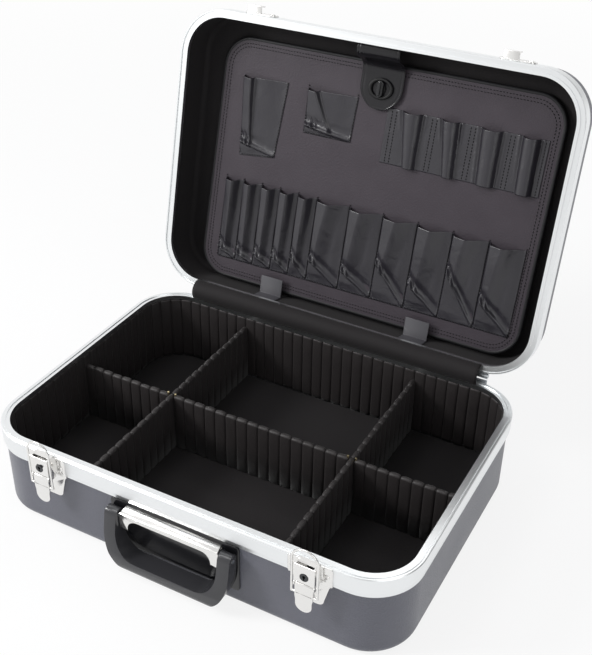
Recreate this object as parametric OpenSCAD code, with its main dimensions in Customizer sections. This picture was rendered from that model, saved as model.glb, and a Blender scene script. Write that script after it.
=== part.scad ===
// Hard tool case: two moulded shells in aluminium frames, a piano hinge, two keyed draw latches,
// a folding handle, a ribbed divider grid in the base and a pocketed tool pallet in the lid.
// Millimetres. +X right, +Y to the hinge, +Z up. The origin is the centre of the base's underside.
// Each lid piece is drawn as it stands with the lid shut, then turned about the hinge by as_open().

/* [Case] */
// Width over the frames
case_w = 460; // [440:5:560]
// Depth over the frames, from the latches to the hinge
case_d = 320; // [310:5:400]
// Height of the base, from the ground to the rim
base_h = 98; // [94:1:140]
// Depth of the lid, from its rim to its outer face
lid_h = 50; // [48:1:80]
// Radius of the upright corners over the frames
corner_r = 52; // [48:1:58]
// Radius of the edges where walls meet floor or top
edge_r = 10; // [7:1:14]
// Wall of the moulded shells
wall = 2.8; // [2.2:0.1:3.4]
// Angle by which the open lid is turned back from shut
lid_open = 103.6; // [96:0.1:106]

/* [Frames] */
// Width of the rim faces
frame_w = 9; // [8.5:0.1:10]
// Height of the outer skin of a frame
frame_h = 21.5; // [20:0.1:24]
// Height of the inner leg that covers the lining's edge
leg_h = 5; // [4:0.5:8]
// Sheet of the inner leg
leg_t = 1.5; // [1:0.1:2]
// Width of the dust tongue on the base's rim
tongue_w = 2.4; // [1.6:0.1:2.6]
// Height of the dust tongue
tongue_h = 0.8; // [0.4:0.1:1]

/* [Hinge] */
// Distance from the ends of the case to the piano hinge
hinge_end = 44; // [36:2:80]
// Number of knuckles, shared by the two leaves
knuckles = 12; // [8:2:16]
// Radius of the knuckles
knuckle_r = 3.2; // [3:0.1:3.4]
// Radius of the hinge pin
hinge_pin_r = 1.2; // [1:0.1:1.6]
// Height of the pin above the base's rim
hinge_up = 6.2; // [5.8:0.1:7]
// Distance from the ends of the hinge to its cover strip
strip_end = 8; // [2:1:20]

/* [Base lining and dividers] */
// Thickness of the floor pad
pad_t = 9; // [8.5:0.5:14]
// Thickness of the wall lining between its ribs
lining_t = 1.7; // [1.2:0.1:1.8]
// Height of a rib over the lining
rib_h = 2.2; // [1.2:0.1:2.6]
// Spacing of the ribs
rib_pitch = 12.6; // [10:0.1:16]
// Thickness of a divider over its ribs
divider_t = 6; // [4.4:0.1:6.4]
// Share of the case's half width between the middle and each cross divider
divider_share = 0.465; // [0.35:0.005:0.55]
// How far the long divider stands in front of the middle
divider_y = 2; // [0:0.5:20]
// Depth of the dividers' top edges below the rim
divider_down = 17; // [12:1:30]
// Radius of the upright pins that join the dividers
divider_pin_r = 1.1; // [0.8:0.1:1.3]

/* [Tool pallet] */
// Distance from the ends of the case to the pallet
pallet_end = 30; // [28:1:50]
// Distance from the front and back of the case to the pallet, taken together
pallet_ends_y = 38; // [36:1:60]
// Thickness of the covered board
pallet_t = 4.4; // [3.6:0.1:5]
// Corner radius of the pallet
pallet_r = 34; // [26:1:44]
// Sideways place of the pallet in the lid
pallet_x = 5; // [0:0.5:6]
// Distance from the shut rim to the pallet's face at the hinge side
pallet_in = 30; // [28:0.5:31]
// Angle by which the pallet slopes into the lid
pallet_tilt = 2; // [1:0.1:2.2]
// Radius of the piping round its edge
piping_r = 2.6; // [2:0.1:3]
// Sheet of the pockets
pocket_t = 1.2; // [0.8:0.1:1.6]
// How far the pockets stand off the board
pocket_out = 10.4; // [8:0.1:12]
// Width of the retaining strap
strap_wide = 50; // [40:1:56]
// Sheet of the retaining strap
strap_t = 1.6; // [1.2:0.1:2]
// Share of the case's half width between the middle and each retaining tab
tab_share = 0.4; // [0.25:0.01:0.5]

/* [Latches] */
// Distance from each end of the case to the middle of its latch
latch_end = 86; // [70:1:120]
// Width of the latch plate
latch_w = 44; // [40:1:50]
// Height of the latch plate
latch_h = 51; // [46:1:56]
// Width of the lock housing
housing_w = 20.6; // [20:0.2:23]
// How far the lock housing stands out of the plate
housing_out = 10.6; // [10:0.1:11]
// Length of the lever from its pin to the tip of its tongue
lever_len = 31; // [26:1:36]
// Radius of the bail's wire
bail_r = 1.1; // [0.9:0.1:1.2]
// Length of the bail from its pivot to the middle of its arch
bail_len = 52; // [50:1:56]
// Radius of the key cylinder
core_r = 4.2; // [3.6:0.1:4.6]

/* [Handle] */
// Width over the handle's arms
handle_w = 138; // [120:2:160]
// Reach from the handle's pins to its lowest edge
handle_drop = 58.5; // [50:0.5:59]
// Width of an arm
arm_w = 13; // [11:1:16]
// Radius of an arm round its pin
arm_r = 6.6; // [5.6:0.1:6.8]
// Front-to-back depth of the grip
grip_d = 19; // [16:0.5:24]

/* [Hidden] */
$fn = 48;

eps = 0.01;
skin_t = 3;
web_t = 2.5;
rim_gap = 0.3;
gap = 0.3;

// plan of the frames' inner edge, which every ring is measured from
rim_w = case_w - 2 * frame_w;
rim_d = case_d - 2 * frame_w;
rim_r = corner_r - frame_w;
shell_out = frame_w - skin_t;
shell_in = shell_out - wall;
front_y = -case_d / 2;
back_y = case_d / 2;
wall_y = front_y + skin_t;
hinge_w = case_w - 2 * hinge_end;
strip_w = hinge_w - 2 * strip_end;
divider_x = divider_share * case_w / 2;
pallet_w = case_w - 2 * pallet_end;
pallet_d = case_d - pallet_ends_y;
tab_x = tab_share * case_w / 2;
latch_x = case_w / 2 - latch_end;
hinge_y = back_y + knuckle_r + 1;
hinge_z = base_h + hinge_up;

// ---------- shared forms ----------

// turns a piece drawn with the lid shut to where it is with the lid open
module as_open() {
  translate([0, hinge_y, hinge_z]) rotate([-lid_open, 0, 0])
    translate([0, -hinge_y, -hinge_z]) children();
}

// sweeps a profile round the rim: its x is the distance outward from the inner edge, its y is height
module ring_sweep() {
  for (i = [0:3]) {
    half = i % 2 == 0 ? rim_w / 2 : rim_d / 2;
    run = (i % 2 == 0 ? rim_d : rim_w) - 2 * rim_r;
    rotate([0, 0, 90 * i]) {
      translate([half, run / 2, 0]) rotate([90, 0, 0]) linear_extrude(run) children();
      translate([half - rim_r, run / 2, 0])
        rotate_extrude(angle = 90, $fn = 96) translate([rim_r, 0]) children();
    }
  }
}

// one side of a tray in section: out to x_out, up from z_low, with a rounded lower edge
module tray_section(x_out, z_low, z_top, r) {
  translate([eps - rim_r, z_low]) square([rim_r - eps + x_out - r, z_top - z_low]);
  translate([x_out - r - eps, z_low + r]) square([r + eps, z_top - z_low - r]);
  intersection() {
    translate([x_out - r, z_low + r]) circle(r);
    translate([x_out - r - eps, z_low]) square([r + eps, r + eps]);
  }
}

// a tray: its floor lies at z_low, its wall reaches out to x_out
module tray(x_out, z_low, z_top, r, t) {
  ring_sweep() difference() {
    tray_section(x_out, z_low, z_top, r);
    tray_section(x_out - t, z_low + t, z_top + 1, max(r - t, 0.5));
  }
  core_w = rim_w - 2 * rim_r + 4 * eps;
  core_d = rim_d - 2 * rim_r + 4 * eps;
  translate([-core_w / 2, -core_d / 2, z_low]) cube([core_w, core_d, t]);
}

// the lid's trays are drawn downward and turned over
module turned_over() {
  translate([0, 0, base_h + rim_gap]) mirror([0, 0, 1]) children();
}

// rectangle with round corners, centred
module rounded(w, d, r) {
  square([w - 2 * r, d], center = true);
  square([w, d - 2 * r], center = true);
  for (sx = [-1, 1], sy = [-1, 1])
    translate([sx * (w / 2 - r), sy * (d / 2 - r)]) circle(r);
}

// extrudes a front view (x, z) from y_back out to y_front, which is the smaller y
module from_front(y_front, y_back) {
  translate([0, y_back, 0]) rotate([90, 0, 0]) linear_extrude(y_back - y_front) children();
}

// extrudes a side view (y, z) over the width w, centred on x
module from_side(w) {
  translate([-w / 2, 0, 0]) rotate([90, 0, 90]) linear_extrude(w) children();
}

// domed rivet head that stands out of a wall facing -Y, at the place (x, y, z)
module rivet(r, h) {
  rotate([90, 0, 0]) {
    cylinder(r = r, h = h * 0.5);
    translate([0, 0, h * 0.5]) cylinder(r1 = r, r2 = r * 0.55, h = h * 0.5);
  }
}

// ---------- shells and frames ----------

module base_shell() {
  color("#3b3c40") tray(shell_out, 0, base_h - web_t, edge_r, wall);
}

module lid_shell() {
  color("#3b3c40") as_open() turned_over() translate([0, 0, -lid_h + rim_gap])
    tray(shell_out, 0, lid_h - rim_gap - web_t, edge_r, wall);
}

// frame in section with its rim face at height 0, reaching down
module frame_section() {
  polygon([
    [0, 0], [frame_w - 0.8, 0], [frame_w, -0.8],
    [frame_w, -frame_h + 5.5], [frame_w - 1.1, -frame_h], [shell_out, -frame_h],
    [shell_out, -web_t], [leg_t, -web_t], [leg_t, -leg_h], [0, -leg_h]
  ]);
}

tongue_at = frame_w * 0.58;
groove_w = tongue_w + 1.4;

module base_frame() {
  color("#e3e5e6") translate([0, 0, base_h]) ring_sweep() {
    frame_section();
    translate([tongue_at - tongue_w / 2, -eps]) square([tongue_w, tongue_h + eps]);
  }
}

module lid_frame() {
  color("#e3e5e6") as_open() turned_over() ring_sweep() difference() {
    frame_section();
    translate([tongue_at - groove_w / 2, -tongue_h - 0.4]) square([groove_w, tongue_h + 1]);
  }
}

// ---------- linings ----------

pad_top = wall + pad_t;
lining_top = base_h - leg_h - 0.2;

// point at distance s along the rim's inner edge, moved outward by t, anticlockwise from the right
straight_y = rim_d - 2 * rim_r;
straight_x = rim_w - 2 * rim_r;
corner_run = rim_r * PI / 2;
round_trip = 2 * (straight_x + straight_y) + 4 * corner_run;
function turned(p, a) = [p[0] * cos(a) - p[1] * sin(a), p[0] * sin(a) + p[1] * cos(a)];
function quarter(s, t, half, run) =
  s <= run
    ? [half + t, s - run / 2]
    : [half - rim_r + (rim_r + t) * cos((s - run) / corner_run * 90),
       run / 2 + (rim_r + t) * sin((s - run) / corner_run * 90)];
side_a = straight_y + corner_run;
side_b = straight_x + corner_run;
function rim_point(s, t) =
  s < side_a ? quarter(s, t, rim_w / 2, straight_y)
  : s < side_a + side_b ? turned(quarter(s - side_a, t, rim_d / 2, straight_x), 90)
  : s < 2 * side_a + side_b
    ? turned(quarter(s - side_a - side_b, t, rim_w / 2, straight_y), 180)
    : turned(quarter(s - 2 * side_a - side_b, t, rim_d / 2, straight_x), 270);

// height of a rib over the lining, at the share u of one pitch: a narrow seam, then a soft crest
crest = [[0, 0], [0.08, 0.62], [0.3, 0.94], [0.5, 1], [0.7, 0.94], [0.92, 0.62]];

// inner outline of the lining, with whole ribs all round
ribs_round = round(round_trip / rib_pitch);
module ribbed_rim() {
  polygon([for (i = [0:ribs_round - 1], c = crest)
    rim_point((i + c[0]) * round_trip / ribs_round, shell_in - lining_t - rib_h * c[1])]);
}

module base_lining() {
  color("#1f1f22") translate([0, 0, pad_top]) linear_extrude(lining_top - pad_top) difference() {
    rounded(rim_w + 2 * shell_in, rim_d + 2 * shell_in, rim_r + shell_in);
    ribbed_rim();
  }
}

// the pad is stepped so that it drops inside the shell's rounded edge
module floor_pad() {
  step = max(edge_r, wall + 1);
  low_in = 2 * (shell_out - edge_r);
  color("#29282b") {
    translate([0, 0, wall]) linear_extrude(step - wall)
      rounded(rim_w + low_in, rim_d + low_in, rim_r + shell_out - edge_r);
    translate([0, 0, step]) linear_extrude(pad_top - step)
      rounded(rim_w + 2 * shell_in, rim_d + 2 * shell_in, rim_r + shell_in);
  }
}

lid_lining_t = 1;
module lid_lining() {
  color("#1d1d1f") as_open() turned_over() translate([0, 0, -lid_h + wall + rim_gap])
    tray(shell_in, 0, lid_h - wall - rim_gap - leg_h, edge_r - wall, lid_lining_t);
}

// ---------- dividers ----------

divider_low = pad_top + gap;
divider_high = base_h - divider_down;
divider_tall = divider_high - divider_low;
cross_half = rim_d / 2 + shell_in - lining_t - rib_h - gap;
long_half = rim_w / 2 + shell_in - lining_t - rib_h - gap;
valley = 0.5;

// plan of a ribbed board along x, from x0 to x1
module ribbed_board(x0, x1) {
  n = max(1, round((x1 - x0) / rib_pitch));
  step = (x1 - x0) / n;
  half = divider_t / 2;
  function side(s) = [for (i = [0:n - 1], c = crest)
    [x0 + (i + c[0]) * step, s * half * (valley + (1 - valley) * c[1])]];
  up = side(1);
  polygon(concat(
    side(-1), [[x1, -half * valley], [x1, half * valley]],
    [for (i = [len(up) - 1:-1:0]) up[i]]
  ));
}

// a board standing in the base; the soft top edge steps in twice
module divider(x0, x1) {
  translate([0, 0, divider_low]) linear_extrude(divider_tall - 1.4) ribbed_board(x0, x1);
  translate([0, 0, divider_high - 1.4 - eps]) linear_extrude(1.4 + eps) intersection() {
    ribbed_board(x0, x1);
    translate([x0, -divider_t * 0.36]) square([x1 - x0, divider_t * 0.72]);
  }
}

module cross_divider(x) {
  color("#232225") translate([x, 0, 0]) rotate([0, 0, 90]) divider(-cross_half, cross_half);
}
module divider_left() { cross_divider(-divider_x); }
module divider_right() { cross_divider(divider_x); }

joint_at = divider_t / 2 + divider_pin_r + 0.4;
mid_end = divider_t / 2 + 0.15;

module pin_at(x, r, z0, z1) {
  translate([x, -divider_y, z0]) cylinder(r = r, h = z1 - z0);
}

module divider_mid(x0, x1, pins) {
  color("#232225") difference() {
    translate([0, -divider_y, 0]) divider(x0, x1);
    for (x = pins) pin_at(x, divider_pin_r, divider_low - 1, divider_high + 1);
  }
}
module divider_mid_left() {
  divider_mid(-long_half, -divider_x - mid_end, [-divider_x - joint_at]);
}
module divider_mid_centre() {
  divider_mid(-divider_x + mid_end, divider_x - mid_end,
    [-divider_x + joint_at, divider_x - joint_at]);
}
module divider_mid_right() {
  divider_mid(divider_x + mid_end, long_half, [divider_x + joint_at]);
}
module divider_pins() {
  color("#d8d2bd") for (sx = [-1, 1], so = [-1, 1])
    pin_at(sx * divider_x + so * joint_at, divider_pin_r, divider_low, divider_high + 1.2);
}

// ---------- hinge ----------

leaf_t = 1.2;
leaf_down = frame_h - 6.5;
knuckle_len = hinge_w / knuckles;
knuckle_gap = 0.25;
leaf_off = 0.5;

module knuckle_row(odd, fit) {
  for (i = [0:knuckles - 1]) if (i % 2 == odd)
    translate([-hinge_w / 2 + i * knuckle_len + knuckle_gap, hinge_y, hinge_z])
      rotate([0, 90, 0]) cylinder(r = knuckle_r, h = knuckle_len - 2 * knuckle_gap);
}

module knuckle_tabs(odd, z0, z1) {
  for (i = [0:knuckles - 1]) if (i % 2 == odd)
    translate([-hinge_w / 2 + i * knuckle_len + knuckle_gap, back_y + leaf_off, z0])
      cube([knuckle_len - 2 * knuckle_gap, leaf_t, z1 - z0]);
}

module hinge_bore(r) {
  translate([-hinge_w / 2 - 1, hinge_y, hinge_z]) rotate([0, 90, 0])
    cylinder(r = r, h = hinge_w + 2);
}

leaf_stop = knuckle_r + 0.4;
module hinge_leaf_base() {
  color("#c9ccce") difference() {
    union() {
      translate([-hinge_w / 2, back_y, base_h - leaf_down])
        cube([hinge_w, leaf_t, leaf_down - 0.8]);
      translate([-hinge_w / 2, back_y + leaf_off, base_h - leaf_down])
        cube([hinge_w, leaf_t, hinge_z - leaf_stop - base_h + leaf_down]);
      knuckle_tabs(0, hinge_z - leaf_stop - 1, hinge_z);
      knuckle_row(0);
    }
    hinge_bore(hinge_pin_r);
  }
}

module hinge_leaf_lid() {
  leaf_z = hinge_z + leaf_stop;
  leaf_top = base_h + rim_gap + frame_h - 5.5;
  color("#c9ccce") as_open() difference() {
    union() {
      translate([-hinge_w / 2, back_y, leaf_z]) cube([hinge_w, leaf_off + leaf_t, leaf_top - leaf_z]);
      knuckle_tabs(1, hinge_z, leaf_z + 1);
      knuckle_row(1);
    }
    hinge_bore(hinge_pin_r + 0.05);
  }
}

module hinge_pin() {
  color("#b7babd") translate([-hinge_w / 2, hinge_y, hinge_z]) rotate([0, 90, 0])
    cylinder(r = hinge_pin_r, h = hinge_w);
}

rivets_per_leaf = 7;
module hinge_rivet_row(z) {
  pitch = (hinge_w - knuckle_len) / (rivets_per_leaf - 1);
  for (i = [0:rivets_per_leaf - 1])
    translate([-(hinge_w - knuckle_len) / 2 + i * pitch, back_y + leaf_off + leaf_t, z])
      mirror([0, 1, 0]) rivet(2.2, 1);
}
module hinge_rivets_base() {
  color("#d5d7d8") hinge_rivet_row(base_h - leaf_down * 0.55);
}
module hinge_rivets_lid() {
  color("#d5d7d8") as_open() hinge_rivet_row(base_h + rim_gap + frame_h - 9.6);
}

// the strip runs from inside the base's rim to inside the open lid's rim
strip_t = 0.8;
strip_low = [rim_d / 2 - gap - 0.4, base_h + 0.5];
function opened(p) = [
  hinge_y + (p[0] - hinge_y) * cos(lid_open) + (p[1] - hinge_z) * sin(lid_open),
  hinge_z - (p[0] - hinge_y) * sin(lid_open) + (p[1] - hinge_z) * cos(lid_open)
];
strip_high = opened([rim_d / 2 - gap - 0.4, base_h + rim_gap - 0.5]);
module hinge_cover() {
  color("#2b2a2c") from_side(strip_w) polygon([
    strip_low + [0, -leg_h], strip_low, strip_high, strip_high + [0.4, leg_h],
    strip_high + [0.4 - strip_t, leg_h], strip_high + [-strip_t, 0.3],
    strip_low + [-strip_t, 0.3], strip_low + [-strip_t, -leg_h]
  ]);
}

// ---------- latches ----------

plate_t = 1.4;
frame_foot = base_h - frame_h;
plate_front = front_y - plate_t;
housing_front = plate_front - housing_out;
sheet_t = 1.2;
housing_top = base_h + 2.7;
lever_r = 1.7;
lever_pin_r = 1;
pin_y = housing_front + lever_r;
pin_z = base_h - 20.6;
housing_low = pin_z + lever_r + 1.6;
lever_w = housing_w - 2 * sheet_t - 0.3;
tongue_w2 = lever_w - 1.6;
bail_dy = -0.6;
bail_dz = -10.4;
bail_x = housing_w / 2 + 1.2 + bail_r;
bail_lean = 0;
core_z = base_h - 9.7;

// points of a lower right corner from its side to its foot, and turned or mirrored rows of points
function corner_arc(x0, z0, rx, rz, n) =
  [for (i = [0:n]) [x0 + rx * cos(90 * i / n), z0 - rz * sin(90 * i / n)]];
function backward(ps) = [for (i = [len(ps) - 1:-1:0]) ps[i]];
function flipped(ps) = [for (p = ps) [-p[0], p[1]]];

// side view of the plate: on the frame, down over its foot, then on the shell's wall
module plate_side() {
  polygon([
    [front_y, base_h - 0.3], [front_y, frame_foot + 5.5], [front_y + 1.1, frame_foot - 0.3],
    [wall_y, frame_foot - 0.9], [wall_y, base_h - latch_h], [wall_y - plate_t, base_h - latch_h],
    [wall_y - plate_t, frame_foot - 2.4], [front_y + 1.1 - plate_t, frame_foot - 0.9],
    [plate_front, frame_foot + 5.2], [plate_front, base_h - 0.3]
  ]);
}

// front view of the plate: square shoulders on the frame, then a taper to a round foot
module plate_front_view() {
  foot_r = 6;
  foot_w = latch_w * 0.3;
  half = latch_w / 2;
  side = concat(
    [[half - 2, base_h - 0.3], [half - 0.6, base_h - 0.9], [half, base_h - 2.3]],
    [[half, frame_foot], [half - 4, frame_foot - 5]],
    corner_arc(foot_w - foot_r, base_h - latch_h + foot_r, foot_r, foot_r, 8)
  );
  polygon(concat(side, backward(flipped(side))));
}
module latch_plate(x) {
  color("#d9dcde") translate([x, 0, 0]) intersection() {
    from_side(latch_w) plate_side();
    from_front(plate_front - 1, wall_y + 1) plate_front_view();
  }
}
module latch_plate_left() { latch_plate(-latch_x); }
module latch_plate_right() { latch_plate(latch_x); }

// lock housing: a pressed cap over the key cylinder whose ears carry the lever's pin
module lock_housing(x) {
  inner_w = housing_w - 2 * sheet_t;
  ear_r = 2.6;
  bend = 1.6;
  slot_w = 3;
  color("#dfe1e3") translate([x, 0, 0]) difference() {
    union() {
      from_side(housing_w) {
        translate([housing_front + bend, housing_low])
          square([plate_front - housing_front - bend, housing_top - housing_low]);
        translate([housing_front, housing_low]) square([bend + eps, housing_top - bend - housing_low]);
        translate([housing_front + bend, housing_top - bend]) circle(bend);
      }
      from_side(housing_w) {
        translate([pin_y, pin_z]) circle(ear_r);
        translate([pin_y, pin_z - ear_r]) square([plate_front - pin_y, housing_low - pin_z + ear_r + eps]);
        translate([housing_front + 1.1, pin_z]) square([2, housing_low - pin_z + eps]);
      }
    }
    translate([-inner_w / 2, housing_front + sheet_t, pin_z - ear_r - 1])
      cube([inner_w, housing_out, housing_top - sheet_t - pin_z + ear_r + 1]);
    translate([-inner_w / 2, housing_front - 1, pin_z - ear_r - 1])
      cube([inner_w, 4, housing_low - pin_z + ear_r + 1]);
    translate([0, housing_front - 1, core_z]) rotate([-90, 0, 0])
      cylinder(r = core_r + 0.05, h = sheet_t + 2);
    translate([-housing_w * 0.41, housing_front + bend * 0.6, housing_top - 2 * sheet_t])
      cube([housing_w * 0.82, slot_w, 3 * sheet_t]);
    translate([-housing_w, pin_y, pin_z]) rotate([0, 90, 0])
      cylinder(r = lever_pin_r, h = 2 * housing_w);
  }
}
module lock_housing_left() { lock_housing(-latch_x); }
module lock_housing_right() { lock_housing(latch_x); }

module lever_pin(x) {
  color("#b7babd") translate([x - housing_w / 2, pin_y, pin_z]) rotate([0, 90, 0])
    cylinder(r = lever_pin_r, h = housing_w);
}
module lever_pin_left() { lever_pin(-latch_x); }
module lever_pin_right() { lever_pin(latch_x); }

module latch_rivets(x) {
  color("#c9ccce") for (s = [-1, 1])
    translate([x + s * (latch_w / 2 - 5.4), plate_front, base_h - 11]) rivet(2.9, 1.2);
  color("#c9ccce") translate([x, wall_y - plate_t, base_h - latch_h + 6]) rivet(2.6, 1.2);
}
module latch_rivets_left() { latch_rivets(-latch_x); }
module latch_rivets_right() { latch_rivets(latch_x); }

// lever: a curl round the pin, a tongue with a round end and two cheeks that hold the bail
module lever(x) {
  shoulder = bail_dz - 4;
  tip = tongue_w2 / 2;
  color("#e4e6e8") translate([x, pin_y, pin_z]) difference() {
    union() {
      translate([-lever_w / 2, 0, 0]) rotate([0, 90, 0]) cylinder(r = lever_r, h = lever_w);
      from_front(-lever_r, sheet_t - lever_r) {
        polygon([
          [-lever_w / 2, 0], [lever_w / 2, 0], [lever_w / 2, shoulder],
          [tip, shoulder - 4], [tip, tip - lever_len], [-tip, tip - lever_len],
          [-tip, shoulder - 4], [-lever_w / 2, shoulder]
        ]);
        translate([0, tip - lever_len]) circle(tip);
      }
      for (s = [-1, 1]) translate([s * (lever_w - sheet_t) / 2, 0, 0]) from_side(sheet_t) {
        polygon([
          [-lever_r, 0], [-lever_r, shoulder], [bail_dy, bail_dz - 3], [bail_dy + 2.6, bail_dz - 1],
          [bail_dy + 3, bail_dz + 3], [lever_r * 0.9, -1.5], [0, 0]
        ]);
      }
    }
    translate([-lever_w, 0, 0]) rotate([0, 90, 0]) cylinder(r = lever_pin_r + 0.05, h = 2 * lever_w);
    translate([-lever_w, bail_dy, bail_dz]) rotate([0, 90, 0])
      cylinder(r = bail_r + 0.05, h = 2 * lever_w);
  }
}
module lever_left() { lever(-latch_x); }
module lever_right() { lever(latch_x); }

// bail: a wire arch on two legs, whose feet turn inward into the lever's cheeks
module bail(x) {
  leg = bail_len - bail_x;
  color("#eceef0") translate([x, pin_y + bail_dy, pin_z + bail_dz]) rotate([bail_lean, 0, 0]) {
    for (s = [-1, 1]) {
      translate([s * bail_x, 0, 0]) cylinder(r = bail_r, h = leg);
      translate([s * bail_x, 0, 0]) sphere(bail_r);
      translate([s * bail_x, 0, 0]) rotate([0, -s * 90, 0])
        cylinder(r = bail_r, h = bail_x - lever_w / 2 + sheet_t + 0.2);
    }
    translate([0, 0, leg]) rotate([90, 0, 0]) rotate_extrude(angle = 180)
      translate([bail_x, 0]) circle(bail_r);
  }
}
module bail_left() { bail(-latch_x); }
module bail_right() { bail(latch_x); }

// key cylinder with its keyway and the cam behind it
module lock_core(x) {
  color("#8d9093") translate([x, housing_front - 0.4, core_z]) difference() {
    union() {
      rotate([-90, 0, 0]) cylinder(r = core_r, h = 7);
      translate([-1.6, 6, -core_r - 1.8]) cube([3.2, 1.2, core_r + 1.8]);
    }
    translate([-0.6, -1, -core_r * 0.72]) cube([1.2, 4.4, core_r]);
    translate([0, -1, core_r * 0.2]) rotate([-90, 0, 0]) cylinder(r = 1.5, h = 4.4);
  }
}
module lock_core_left() { lock_core(-latch_x); }
module lock_core_right() { lock_core(latch_x); }

// ---------- catches on the lid ----------

catch_t = 1.2;
hook_w = 16;
hook_out = 9.1;
hook_low = base_h + 6;
catch_z = base_h + 13;
module catch(x) {
  color("#dfe1e3") as_open() translate([x, 0, 0]) {
    from_front(front_y - catch_t, front_y) translate([5.5, catch_z]) rounded(37, 15, 5);
    from_side(hook_w) polygon([
      [front_y - catch_t + eps, hook_low], [front_y - hook_out, hook_low],
      [front_y - hook_out, hook_low + 8], [front_y - hook_out + catch_t, hook_low + 8],
      [front_y - hook_out + catch_t, hook_low + catch_t], [front_y - catch_t + eps, hook_low + catch_t]
    ]);
  }
}
module catch_left() { catch(-latch_x); }
module catch_right() { catch(latch_x); }

module catch_rivets() {
  color("#c9ccce") as_open() for (s = [-1, 1])
    translate([s * latch_x + 18.5, front_y - catch_t, catch_z]) rivet(3, 1.2);
}

// ---------- handle ----------

handle_t = 2;
handle_face = wall_y - handle_t;
swing_y = handle_face - arm_r - 0.4;
swing_z = base_h - 33.5;
bracket_t = 1.2;
bracket_w = handle_w - 2 * arm_w - 2;
bracket_out = swing_y - 2.4;
handle_pin_r = 2;

module handle_plate() {
  tall = 55;
  color("#1b1b1d") from_front(handle_face, wall_y)
    translate([0, frame_foot - 1 - tall / 2]) rounded(handle_w + 4, tall, 4);
}

// bracket: a folded sheet that leaves the plate as a canopy and turns down into two curved legs
module handle_bracket() {
  top = frame_foot - 5;
  fold = top - 3;
  lip = fold - 4.6;
  leg_w = 9;
  leg_low = base_h - 47;
  sweep_r = 11;
  color("#dcdedf") difference() {
    intersection() {
      union() {
        from_side(bracket_w) polygon([
          [handle_face, top], [handle_face, top - 8], [handle_face - bracket_t, top - 8],
          [handle_face - bracket_t, top - bracket_t * 1.6], [bracket_out + bracket_t, fold - bracket_t],
          [bracket_out + bracket_t, leg_low], [bracket_out, leg_low], [bracket_out, fold],
          [bracket_out + 1, fold + 0.8]
        ]);
        for (s = [-1, 1]) translate([s * (bracket_w - bracket_t) / 2, 0, 0]) from_side(bracket_t)
          polygon([
            [handle_face, top - 1], [handle_face, leg_low + 8], [handle_face - 3, leg_low + 2],
            [bracket_out, leg_low + 2], [bracket_out, fold], [handle_face - 1, top - 0.4]
          ]);
      }
      // front view: the ends are cut on the slant
      from_front(bracket_out - 1, handle_face + 1) polygon([
        [-bracket_w / 2, leg_low], [bracket_w / 2, leg_low], [bracket_w / 2, fold - 2],
        [bracket_w / 2 - 3, top + 1], [3 - bracket_w / 2, top + 1], [-bracket_w / 2, fold - 2]
      ]);
    }
    // between the legs the sheet is cut away, with a large curve into each
    from_front(bracket_out - 1, bracket_out + bracket_t + 1) {
      span = bracket_w - 2 * leg_w;
      translate([-span / 2, leg_low - 1]) square([span, lip - sweep_r - leg_low + 1]);
      translate([-span / 2 + sweep_r, leg_low - 1]) square([span - 2 * sweep_r, lip - leg_low + 1]);
      for (s = [-1, 1]) translate([s * (span / 2 - sweep_r), lip - sweep_r]) circle(sweep_r);
    }
    translate([-bracket_w, swing_y, swing_z]) rotate([0, 90, 0])
      cylinder(r = handle_pin_r + 0.03, h = 2 * bracket_w);
  }
}

module handle_pins() {
  color("#b7babd") for (s = [-1, 1])
    translate([s * (bracket_w / 2 - 3), swing_y, swing_z]) rotate([0, s * 90, 0])
      cylinder(r = handle_pin_r, h = (handle_w - bracket_w) / 2 + 3.4);
}

module handle_rivets() {
  color("#c9ccce") for (x = [-1.5:1:1.5])
    translate([x * bracket_w / 4.4, handle_face - bracket_t, frame_foot - 10.6]) rivet(1.9, 0.9);
}

// front outline of the handle: upright arms, then an elliptical corner into a flat bar
arm_run = 15;
bar_half = handle_w / 2 - 30;
bar_tall = 15;
outer_line = corner_arc(bar_half, -arm_run, handle_w / 2 - bar_half, handle_drop - arm_run, 14);
inner_line = corner_arc(bar_half - 5, -arm_run, handle_w / 2 - arm_w - bar_half + 5,
  handle_drop - bar_tall - arm_run, 10);
module grip_front() {
  polygon(concat(
    [[handle_w / 2 - arm_w, arm_r], [handle_w / 2, arm_r]], outer_line,
    backward(flipped(outer_line)), [[-handle_w / 2, arm_r], [arm_w - handle_w / 2, arm_r]],
    flipped(inner_line), backward(inner_line)
  ));
}

// side outline of the handle: an eye round the pin that swells to a palm-filling bar
module grip_side() {
  back = swing_y + arm_r - 1.5;
  bar_r = grip_d * 0.36;
  low = swing_z - handle_drop;
  middle = back - grip_d / 2;
  under = corner_arc(grip_d / 2 - bar_r, low + bar_r, bar_r, bar_r, 8);
  function moved(ps) = [for (p = ps) [middle + p[0], p[1]]];
  polygon(concat(
    [for (a = [0:15:180]) [swing_y + arm_r * cos(a), swing_z + arm_r * sin(a)]],
    [[swing_y - arm_r - 1.6, swing_z - arm_run * 0.6], [back - grip_d, low + bar_tall + 2]],
    moved(flipped(under)), moved(backward(under)), [[back, swing_z - arm_run]]
  ));
}

module handle_grip() {
  color("#2a2a2c") difference() {
    intersection() {
      translate([0, 0, swing_z]) from_front(swing_y - 2 * grip_d, swing_y + 2 * arm_r) grip_front();
      from_side(handle_w + 2) grip_side();
    }
    translate([-handle_w, swing_y, swing_z]) rotate([0, 90, 0])
      cylinder(r = handle_pin_r + 0.05, h = 2 * handle_w);
  }
}

// ---------- tool pallet ----------

pallet_y = rim_d / 2 - 1.5;

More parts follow.
